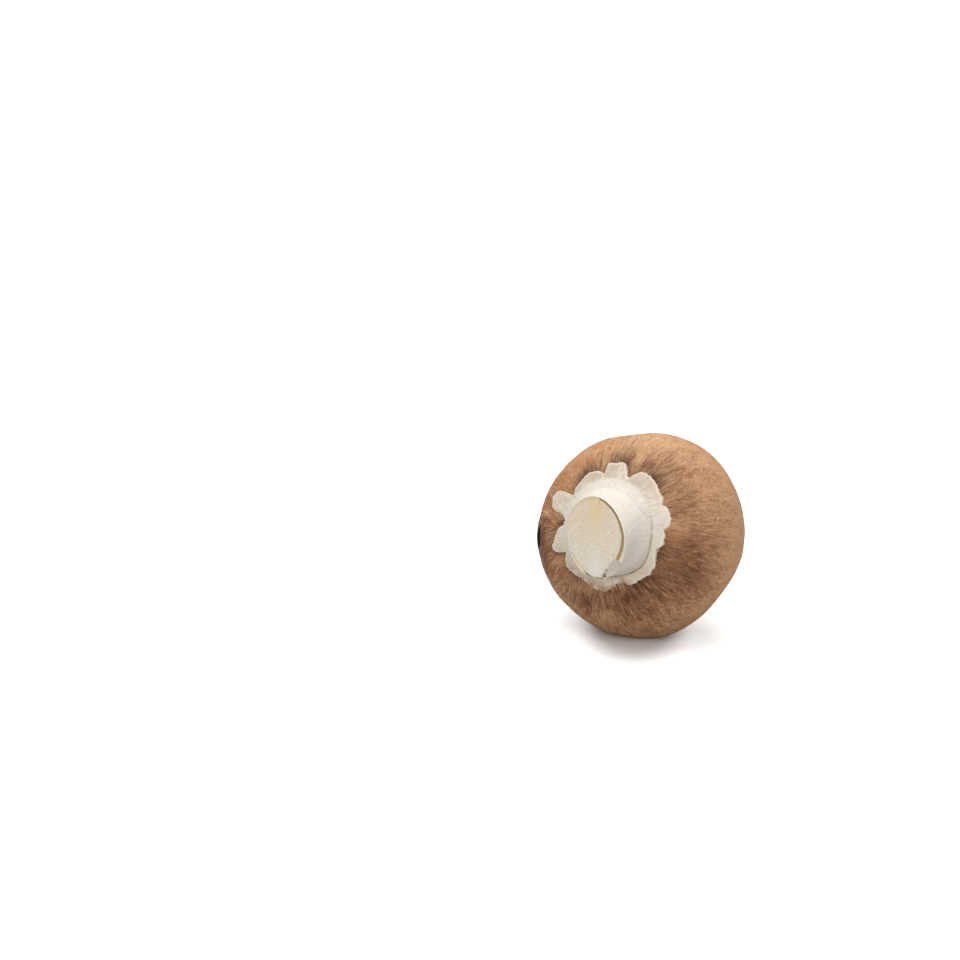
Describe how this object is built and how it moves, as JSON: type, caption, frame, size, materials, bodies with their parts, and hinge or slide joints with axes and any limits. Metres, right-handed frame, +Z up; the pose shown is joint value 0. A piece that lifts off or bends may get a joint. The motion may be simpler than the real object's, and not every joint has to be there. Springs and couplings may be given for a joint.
{
  "type": "button mushroom",
  "caption": "Closed button mushroom with a brown domed cap, cream lobed veil and white stem cut at a slant, lying on its side.",
  "frame": {"origin": "middle of the small flat spot on the side of the cap, where the mushroom lies on a surface", "axes": "+Z up from the surface, the cut end of the stem turned to -Y and a little to -X, +X to the right of it"},
  "size_m": [0.0483, 0.0529, 0.0458],
  "materials": {
    "brown_skin": "matte brown skin with fine radial fibres",
    "cream_veil": "matte cream membrane, torn at its edge",
    "white_flesh": "matte white flesh, fibrous along the stem"
  },
  "bodies": {
    "root": {"cap": "brown_skin", "veil": "cream_veil", "stem": "white_flesh"}
  },
  "joints": []
}
